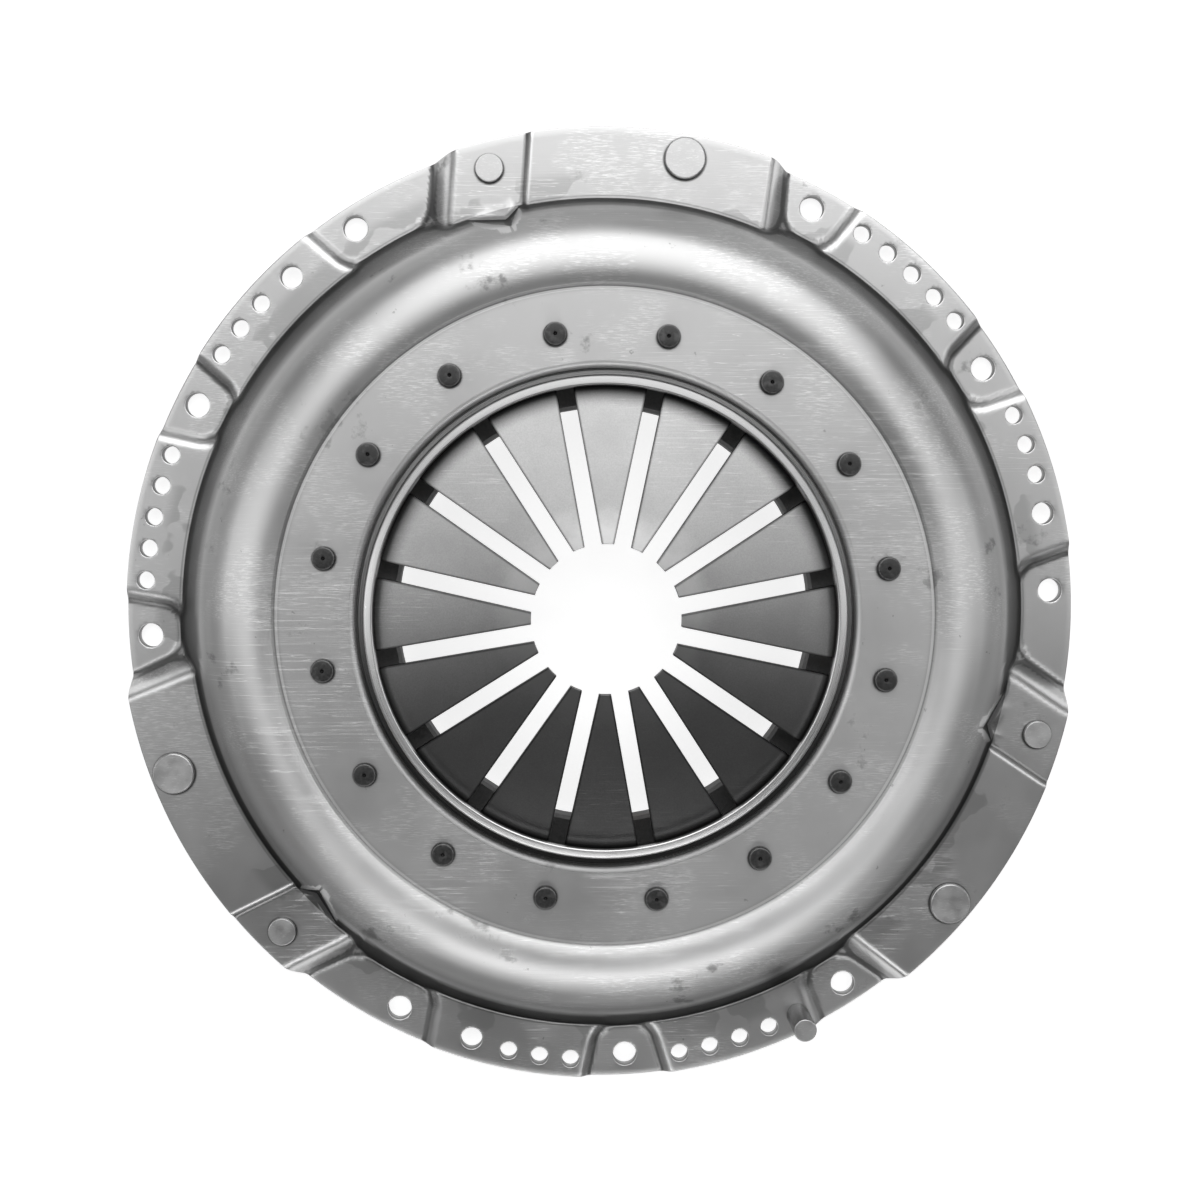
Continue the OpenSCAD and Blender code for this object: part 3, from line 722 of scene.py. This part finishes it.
def ring_finish(colours, name="machined_steel", shade=1.0):
    """Turned steel: fine grooves round the clutch axis, with painted light that is darker towards the
    top and painted shade on the faces in and below the groove, deepest towards the bottom.
    """
    f = Finish(name)
    radius, angle, height = f.polar()
    sweep = f.combine(f.share(radius, 5200.0), f.share(angle, 3.0), f.share(height, 5200.0))
    grooves = f.noise(sweep, 1.0, 3.0, 0.6)
    nicks = f.limits(f.noise(f.place, 240.0, 2.0), 0.70, 0.74)
    base = f.shades(grooves, colours.ring, 0.72 * shade, 1.15 * shade)
    base = f.over(f.share(nicks, 0.6), base, colours.ring, 1.5 * shade)
    # Painted light, darker towards the top, and painted shade on the faces in and below the groove,
    # deepest towards the bottom
    light = f.limits(f.place_y, -0.06, 0.09, 1.0, 0.46)
    groove = f.limits(f.place_y, -0.06, 0.08, 0.1, 0.9)
    low, high = (GROOVE_FLOOR + 0.3) * MM, (LIP_TOP - 1.4) * MM
    base = f.times(base, f.share(light, f.limits(height, low, high, groove, 1.0)))
    f.bumps((grooves, 0.00003, 0.5))
    return f.finish(base, f.limits(grooves, 0.3, 0.7, 0.26, 0.40))


def dark_finish(colours):
    """Blackened rivets, lighter round the rim of the head, with painted shade in the centre mark."""
    f = Finish("dark_rivet")
    grain = f.noise(f.place, 900.0, 4.0, 0.65)
    blots = f.limits(f.noise(f.place, 260.0, 3.0), 0.5, 0.68)
    base = f.shades(grain, colours.dark, 0.6, 1.5)
    base = f.over(f.share(blots, 0.4), base, colours.dark, 2.6)
    rim = f.mark("rim")
    # The head's rim drawn lighter
    worn = f.share(f.limits(rim, 0.0, 1.0), f.limits(grain, 0.35, 0.6, 0.3, 0.8))
    base = f.over(worn, base, colours.dark, 3.4)
    # Painted shade in the centre mark
    base = f.over(f.limits(rim, -1.0, 0.0, 0.8, 0.0), base, colours.dark, 0.15)
    f.bumps((grain, 0.00005, 0.5))
    return f.finish(base, f.limits(grain, 0.3, 0.7, 0.38, 0.55))


def rivet_finish(colours):
    """Riveted steel, rubbed by the tool that closed it."""
    f = Finish("bright_rivet")
    grain = f.noise(f.place, 1200.0, 3.0, 0.6)
    smear = f.noise(f.turned(15.0, (500.0, 2200.0, 400.0)), 1.0, 3.0)
    clouds = f.noise(f.place, 120.0, 4.0)
    base = f.shades(clouds, colours.rivet, 0.80, 1.12)
    base = f.over(f.limits(smear, 0.55, 0.7, 0.0, 0.45), base, colours.rivet, 1.45)
    f.bumps((clouds, 0.0001, 0.3), (grain, 0.00003, 0.4))
    return f.finish(base, f.limits(clouds, 0.3, 0.7, 0.34, 0.46))


def strap_finish(colours):
    """Rolled strip: faint lines and a smooth skin."""
    f = Finish("strap_steel")
    lines = f.noise(f.turned(0.0, (90.0, 1700.0, 600.0)), 1.0, 4.0)
    clouds = f.noise(f.place, 60.0, 4.0)
    base = f.shades(clouds, colours.strap, 0.8, 1.15)
    base = f.over(f.limits(lines, 0.5, 0.66, 0.0, 0.3), base, colours.strap, 1.4)
    f.bumps((lines, 0.00002, 0.3))
    return f.finish(base, f.limits(clouds, 0.3, 0.7, 0.30, 0.42))


def iron_finish(colours):
    """Cast iron: a sandy skin, and a ground face towards the disc."""
    f = Finish("cast_plate")
    radius, angle, height = f.polar()
    ground = f.limits(height, 0.0049, 0.0052, 1.0, 0.0)
    sand = f.noise(f.place, 620.0, 5.0, 0.65)
    rust = f.limits(f.noise(f.place, 30.0, 6.0, 0.65), 0.55, 0.75)
    sweep = f.combine(f.share(radius, 2600.0), f.share(angle, 2.0), 0.0)
    rings = f.noise(sweep, 1.0, 4.0, 0.65)
    cast = f.shades(sand, colours.iron, 0.65, 1.35)
    cast = f.mix(f.share(rust, 0.35), cast, (0.17, 0.14, 0.12, 1.0))
    face = f.shades(rings, colours.iron, 1.5, 2.4)
    base = f.mix(ground, cast, face)
    rough = f.blend(ground, 0.62, 0.34)
    rough = f.math("ADD", rough, f.share(f.math("SUBTRACT", sand, 0.5), 0.15))
    skin = f.share(sand, f.math("SUBTRACT", 1.0, ground))
    f.bumps((skin, 0.00035, 0.6), (f.share(rings, ground), 0.00003, 0.5))
    return f.finish(base, rough)


def floor_finish(colours):
    """A pale even floor that glows a little, as a white studio sweep does."""
    f = Finish("floor")
    soft = f.noise(f.place, 3.0, 3.0)
    base = f.shades(soft, colours.floor, 0.985, 1.0)
    f.shader.inputs["Emission Color"].default_value = (1.0, 1.0, 1.0, 1.0)
    f.shader.inputs["Emission Strength"].default_value = 0.8
    f.shader.inputs["Specular IOR Level"].default_value = 0.1
    return f.finish(base, 0.9, 0.0)


FINISHES = {
    "cover_steel": cover_finish,
    "spring_steel": spring_finish,
    "machined_steel": ring_finish,
    "spring_wire": lambda colours: ring_finish(colours, "spring_wire", 0.6),
    "dark_rivet": dark_finish,
    "bright_rivet": rivet_finish,
    "strap_steel": strap_finish,
    "cast_plate": iron_finish,
}

# The finishes made so far, by slot
MADE = {}


def finish_for(slot):
    """The slot's finish, made once."""
    if slot not in MADE:
        MADE[slot] = FINISHES[slot](bpy.context.scene.clutch_colours)
    return MADE[slot]


def upper_ring():
    """The turned ring in the mouth, with its lip, groove and bead."""
    bead = [
        (BEAD + BEAD_RADIUS * math.cos(a), BEAD_HEIGHT + BEAD_RADIUS * math.sin(a))
        for a in (math.radians(-25.0 - 13.7 * k) for k in range(11))
    ]
    profile = [
        (LIP_IN, LIP_UNDER + 0.3), (LIP_IN, LIP_TOP - 0.8), (LIP_IN + 0.15, LIP_TOP - 0.35),
        (LIP_IN + 0.5, LIP_TOP - 0.1), (LIP_IN + 1.0, LIP_TOP), (LIP_OUT - 1.1, LIP_TOP - 0.45),
        (LIP_OUT - 0.5, LIP_TOP - 0.7), (LIP_OUT - 0.15, LIP_TOP - 1.1), (LIP_OUT, LIP_TOP - 1.6),
        (LIP_OUT, GROOVE_FLOOR + 0.4), (LIP_OUT + 0.4, GROOVE_FLOOR), (GROOVE_WALL - 0.3, GROOVE_FLOOR),
        (GROOVE_WALL, GROOVE_FLOOR - 0.3), (GROOVE_WALL, RING_TOP), (RING_OUT - 0.3, RING_TOP),
        (RING_OUT, RING_TOP - 0.3), (RING_OUT, RING_UNDER + 0.3), (RING_OUT - 0.3, RING_UNDER),
        *bead, (LIP_IN + 0.3, LIP_UNDER), (LIP_IN, LIP_UNDER + 0.3),
    ]
    ring = spun([(r * MM, z * MM) for r, z in profile], RING_STEPS)
    return drilled(ring, rivet_holes(RING_TOP))


def slot_of(node):
    return next(s["material_slot"] for s in frame["record"]["subparts"] if s["node"] == node)


def body_of(node):
    groups = frame["record"]["behaviour"]["bodies"]
    return next(body for body, members in groups.items() if node in members)


def cad_copy(node):
    """A welded copy of a CAD node's surface, with flat faces made whole again."""
    bm = bmesh.new()
    bm.from_mesh(frame["nodes"][node].data)
    bmesh.ops.remove_doubles(bm, verts=bm.verts, dist=1e-6)
    bmesh.ops.recalc_face_normals(bm, faces=bm.faces)
    bmesh.ops.dissolve_limit(
        bm,
        angle_limit=math.radians(0.2),
        use_dissolve_boundaries=False,
        verts=bm.verts,
        edges=bm.edges,
    )
    return bm


def settle(bm, name, slot, edge=0.0, crease=SHARP_FROM):
    """Makes the shaped mesh an object with smooth faces, soft edges and its slot's finish."""
    mesh = bpy.data.meshes.new(name)
    bm.to_mesh(mesh)
    bm.free()
    mesh.polygons.foreach_set("use_smooth", [True] * len(mesh.polygons))
    mesh.set_sharp_from_angle(angle=math.radians(crease))
    mesh.materials.append(finish_for(slot))
    piece = bpy.data.objects.new(name, mesh)
    bpy.context.scene.collection.objects.link(piece)
    if edge:
        bevel = piece.modifiers.new("soft_edges", "BEVEL")
        bevel.width = edge
        bevel.segments = 2
        bevel.limit_method = "ANGLE"
        bevel.angle_limit = math.radians(crease)
        bevel.harden_normals = True
        bevel.use_clamp_overlap = True
    weighted = piece.modifiers.new("flat_faces", "WEIGHTED_NORMAL")
    weighted.keep_sharp = True
    return piece


def dress(node, name, edge, crease=SHARP_FROM):
    """Stands a softened copy of a CAD node in for the node."""
    piece = settle(cad_copy(node), name, slot_of(node), edge, crease)
    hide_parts(node)
    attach(piece, body_of(node))
    return piece


def spun(profile, steps):
    """A line of (radius, height) points turned once round the Z axis and closed at its poles."""
    bm = bmesh.new()
    points = [bm.verts.new((r, 0.0, z)) for r, z in profile]
    edges = [bm.edges.new(pair) for pair in zip(points, points[1:])]
    bmesh.ops.spin(
        bm,
        geom=points + edges,
        cent=(0, 0, 0),
        axis=(0, 0, 1),
        angle=math.tau,
        steps=steps,
        use_merge=True,
    )
    bmesh.ops.remove_doubles(bm, verts=bm.verts, dist=1e-7)
    bmesh.ops.recalc_face_normals(bm, faces=bm.faces)
    return bm


def repeated(bm, places):
    """Copies a shape to each place and drops the one at the origin."""
    first = list(bm.verts) + list(bm.edges) + list(bm.faces)
    for place in places:
        copy = bmesh.ops.duplicate(bm, geom=first)["geom"]
        points = [g for g in copy if isinstance(g, bmesh.types.BMVert)]
        bmesh.ops.translate(bm, verts=points, vec=place)
    points = [g for g in first if isinstance(g, bmesh.types.BMVert)]
    bmesh.ops.delete(bm, geom=points, context="VERTS")
    return bm


def islands(node):
    """Centre, lowest and highest height of each separate solid of a node, in order of angle."""
    bm = cad_copy(node)
    left, found = set(bm.verts), []
    while left:
        stack, group = [left.pop()], []
        while stack:
            vert = stack.pop()
            group.append(vert.co.copy())
            for edge in vert.link_edges:
                other = edge.other_vert(vert)
                if other in left:
                    left.remove(other)
                    stack.append(other)
        low = Vector(min(c[i] for c in group) for i in range(3))
        high = Vector(max(c[i] for c in group) for i in range(3))
        found.append(((low + high) / 2, low.z, high.z))
    bm.free()
    return sorted(found, key=lambda solid: math.atan2(solid[0].x, solid[0].y))


class ClutchStep:
    """What the operators share."""

    bl_options = {"REGISTER", "UNDO"}

    @property
    def sizes(self):
        return bpy.context.scene.clutch_sizes


class CLUTCH_OT_cover(ClutchStep, bpy.types.Operator):
    """Pressed cover with its flange of pads and bays"""

    bl_idname = "clutch.cover"
    bl_label = "Cover"

    def execute(self, context):
        sheet = drilled(pressed_sheet(), cover_holes())
        cover = settle(sheet, "pressed_cover", "cover_steel", crease=38.0)
        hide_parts("cover")
        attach(cover, COVER)
        return {"FINISHED"}


class CLUTCH_OT_spring(ClutchStep, bpy.types.Operator):
    """Finger spring, a softened copy of its CAD node"""

    bl_idname = "clutch.spring"
    bl_label = "Finger spring"

    def execute(self, context):
        spring = dress("diaphragm_spring", "finger_spring", self.sizes.finger_edge, 30.0)
        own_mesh(spring)
        return {"FINISHED"}


class CLUTCH_OT_fulcrum(ClutchStep, bpy.types.Operator):
    """Turned ring in the mouth and the wire under the spring"""

    bl_idname = "clutch.fulcrum"
    bl_label = "Fulcrum rings"

    def execute(self, context):
        ring = settle(upper_ring(), "mouth_ring", "machined_steel", crease=38.0)
        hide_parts("upper_fulcrum_ring")
        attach(ring, COVER)
        dress("lower_fulcrum_ring", "fulcrum_wire", 0.0)
        return {"FINISHED"}


class CLUTCH_OT_dark_rivets(ClutchStep, bpy.types.Operator):
    """Sixteen dark rivets with a centre mark"""

    bl_idname = "clutch.dark_rivets"
    bl_label = "Dark rivets"

    def execute(self, context):
        found = islands("fulcrum_rivets")
        low, high = found[0][1], found[0][2]
        dimple = self.sizes.dimple
        head, neck, shoulder, foot = 0.0050, 0.00375, 0.0045, 0.0095
        neck_top = high - 0.0030
        shoulder_top = neck_top - 0.0125
        foot_top = low + 0.0030
        profile = [
            (0.0, high - 0.0009),
            (dimple * 0.55, high - 0.0006),
            (dimple, high - 0.00005),
            (dimple * 1.5, high),
            (head - 0.0008, high),
            (head - 0.0002, high - 0.00025),
            (head, high - 0.0008),
            (head, neck_top + 0.0002),
            (head - 0.0003, neck_top),
            (neck, neck_top),
            (neck, shoulder_top),
            (shoulder, shoulder_top),
            (shoulder, foot_top),
            (foot, foot_top),
            (foot, low + 0.0006),
            (foot - 0.0006, low),
            (0.0, low),
        ]
        rivet = spun(profile, RIVET_STEPS)
        rim = rivet.verts.layers.float.new("rim")
        # Marks the head's rim, drawn lighter, and the centre mark, which takes painted shade
        for vert in rivet.verts:
            out = vert.co.to_2d().length
            if vert.co.z > neck_top and out > head - 0.0005:
                vert[rim] = 1.0
            elif vert.co.z > neck_top and out <= dimple * 0.6:
                vert[rim] = -1.0
        bm = repeated(rivet, [Vector((c.x, c.y, 0.0)) for c, *_ in found])
        rivets = settle(bm, "spring_rivets", "dark_rivet", crease=40.0)
        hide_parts("fulcrum_rivets")
        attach(rivets, COVER)
        return {"FINISHED"}


class CLUTCH_OT_flange_rivets(ClutchStep, bpy.types.Operator):
    """Anchor and stop rivets on the raised end of each sector"""

    bl_idname = "clutch.flange_rivets"
    bl_label = "Flange rivets"

    def execute(self, context):
        dress("anchor_rivets", "anchor_rivet_set", self.sizes.anchor_edge)
        dress("stop_rivets", "stop_rivet_set", self.sizes.stop_edge)
        dress("anchor_washers", "anchor_washer_set", self.sizes.small_edge)
        dress("lug_washers", "lug_washer_set", self.sizes.small_edge)
        return {"FINISHED"}


class CLUTCH_OT_plate(ClutchStep, bpy.types.Operator):
    """Cast plate with its ridge, lugs and ground face"""

    bl_idname = "clutch.plate"
    bl_label = "Plate"

    def execute(self, context):
        dress("pressure_plate", "cast_plate", self.sizes.cast_edge, 25.0)
        return {"FINISHED"}


class CLUTCH_OT_straps(ClutchStep, bpy.types.Operator):
    """Nine strap leaves from the cover to the plate, sliced across at steps along their length"""

    bl_idname = "clutch.straps"
    bl_label = "Straps"

    def execute(self, context):
        anchors = [centre for centre, *_ in islands("anchor_rivets")]
        lugs = [centre for centre, *_ in islands("stop_rivets")]
        for sector in range(1, SECTORS + 1):
            for layer in ("upper", "middle", "lower"):
                node = f"strap_leaf_{sector}_{layer}"
                low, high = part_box(node)
                middle = (low + high) / 2
                anchor = min(anchors, key=lambda p: (p - middle).to_2d().length)
                lug = min(lugs, key=lambda p: (p - middle).to_2d().length)
                along = (lug - anchor).to_2d()
                bm = cad_copy(node)
                for k in range(1, LEAF_STEPS):
                    spot = anchor.to_2d() + along * k / LEAF_STEPS
                    bmesh.ops.bisect_plane(
                        bm,
                        geom=list(bm.verts) + list(bm.edges) + list(bm.faces),
                        dist=1e-7,
                        plane_co=(*spot, 0),
                        plane_no=(*along.normalized(), 0),
                    )
                leaf = settle(bm, f"leaf_{sector}_{layer}", "strap_steel")
                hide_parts(node)
                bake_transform(leaf)
        return {"FINISHED"}


class CLUTCH_OT_pin(ClutchStep, bpy.types.Operator):
    """Balancing pin in one of the small flange holes"""

    bl_idname = "clutch.pin"
    bl_label = "Balancing pin"

    def execute(self, context):
        dress("balance_pin", "balancing_pin", self.sizes.pin_edge)
        return {"FINISHED"}


def area_light(name, place, size, power, aim=(0, 0, 0.02)):
    """A soft light box that faces the clutch."""
    light = bpy.data.lights.new(name, "AREA")
    light.shape = "RECTANGLE"
    light.size, light.size_y = size
    light.energy = power
    box = bpy.data.objects.new(name, light)
    box.location = place
    box.rotation_euler = (Vector(aim) - Vector(place)).to_track_quat("-Z", "Y").to_euler()
    bpy.context.scene.collection.objects.link(box)


class CLUTCH_OT_stage(ClutchStep, bpy.types.Operator):
    """Floor, lights and the photograph's view"""

    bl_idname = "clutch.stage"
    bl_label = "Stage"

    def execute(self, context):
        bm = bmesh.new()
        bmesh.ops.create_grid(bm, x_segments=4, y_segments=4, size=FLOOR_REACH)
        mesh = bpy.data.meshes.new("floor")
        bm.to_mesh(mesh)
        bm.free()
        mesh.materials.append(floor_finish(bpy.context.scene.clutch_colours))
        floor = bpy.data.objects.new("floor", mesh)
        bpy.context.scene.collection.objects.link(floor)

        world = bpy.data.worlds.new("studio")
        world.use_nodes = True
        background = world.node_tree.nodes["Background"]
        background.inputs["Color"].default_value = (1.0, 1.0, 1.0, 1.0)
        background.inputs["Strength"].default_value = WORLD_LIGHT
        bpy.context.scene.world = world
        bpy.context.scene.view_settings.view_transform = "Standard"
        for light in LIGHTS:
            area_light(*light)

        tilt = Matrix.Rotation(EYE_TILT[0], 3, "X") @ Matrix.Rotation(EYE_TILT[1], 3, "Y")
        turn = tilt.transposed()
        data = bpy.data.cameras.new("eye")
        data.sensor_width = 36.0
        data.lens = EYE_FOCUS * data.sensor_width
        data.clip_start, data.clip_end = 0.01, 100.0
        eye = bpy.data.objects.new("eye", data)
        spot = turn @ (Vector((0.0, 0.0, EYE_DISTANCE)) - Vector((*EYE_SHIFT, 0.0)))
        eye.matrix_world = Matrix.Translation(spot) @ turn.to_4x4()
        bpy.context.scene.collection.objects.link(eye)
        bpy.context.scene.camera = eye
        return {"FINISHED"}


STEPS = (
    CLUTCH_OT_cover,
    CLUTCH_OT_spring,
    CLUTCH_OT_fulcrum,
    CLUTCH_OT_dark_rivets,
    CLUTCH_OT_flange_rivets,
    CLUTCH_OT_plate,
    CLUTCH_OT_straps,
    CLUTCH_OT_pin,
    CLUTCH_OT_stage,
)


class CLUTCH_PT_panel(bpy.types.Panel):
    """Sizes, colours and steps in the sidebar"""

    bl_idname = "CLUTCH_PT_panel"
    bl_label = "Clutch Pressure Plate"
    bl_space_type = "VIEW_3D"
    bl_region_type = "UI"
    bl_category = "Clutch"

    def draw(self, context):
        scene = context.scene
        for group in (scene.clutch_sizes, scene.clutch_colours):
            column = self.layout.column(align=True)
            for key in group.__annotations__:
                column.prop(group, key)
        for step in STEPS:
            self.layout.operator(step.bl_idname)


CLASSES = (ClutchSizes, ClutchColours, *STEPS, CLUTCH_PT_panel)


def register():
    for cls in CLASSES:
        bpy.utils.register_class(cls)
    bpy.types.Scene.clutch_sizes = PointerProperty(type=ClutchSizes)
    bpy.types.Scene.clutch_colours = PointerProperty(type=ClutchColours)


def unregister():
    del bpy.types.Scene.clutch_colours
    del bpy.types.Scene.clutch_sizes
    for cls in reversed(CLASSES):
        bpy.utils.unregister_class(cls)


def main():
    register()
    for step in STEPS:
        group, name = step.bl_idname.split(".")
        getattr(getattr(bpy.ops, group), name)()


if __name__ == "__main__":
    main()
